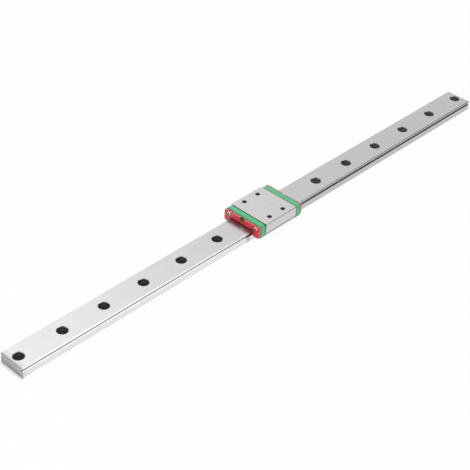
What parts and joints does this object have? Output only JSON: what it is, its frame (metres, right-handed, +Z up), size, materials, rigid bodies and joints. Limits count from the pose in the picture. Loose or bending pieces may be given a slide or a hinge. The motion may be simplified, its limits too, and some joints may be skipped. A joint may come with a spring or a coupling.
{
  "type": "miniature linear guide rail",
  "caption": "Wide miniature linear guide: a ground steel rail with counterbored bolt holes and a ball carriage with end caps and wiper seals that slides along it.",
  "frame": {"origin": "centre of the rail's underside", "axes": "+X along the rail, +Y across it, +Z up from the rail's underside"},
  "size_m": [0.4, 0.03, 0.012],
  "materials": {
    "rail_steel": "fine ground",
    "block_steel": "fine ground",
    "green_plastic": "moulded, satin",
    "red_seal": "moulded, satin",
    "screw_steel": "bright",
    "ball_steel": "polished"
  },
  "bodies": {
    "rail": {"rail": "rail_steel"},
    "carriage": {"carriage_block": "block_steel", "end_cap_left": "green_plastic", "end_seal_left": "red_seal", "cap_screw_left_front": "screw_steel", "cap_screw_left_back": "screw_steel", "end_cap_right": "green_plastic", "end_seal_right": "red_seal", "cap_screw_right_front": "screw_steel", "cap_screw_right_back": "screw_steel", "ball_row_front": "ball_steel", "ball_row_back": "ball_steel"}
  },
  "joints": [
    {"name": "carriage_slide", "type": "slide", "parent": "rail", "child": "carriage", "axis": [1, 0, 0], "range_m": [-0.1759, 0.1851]}
  ]
}
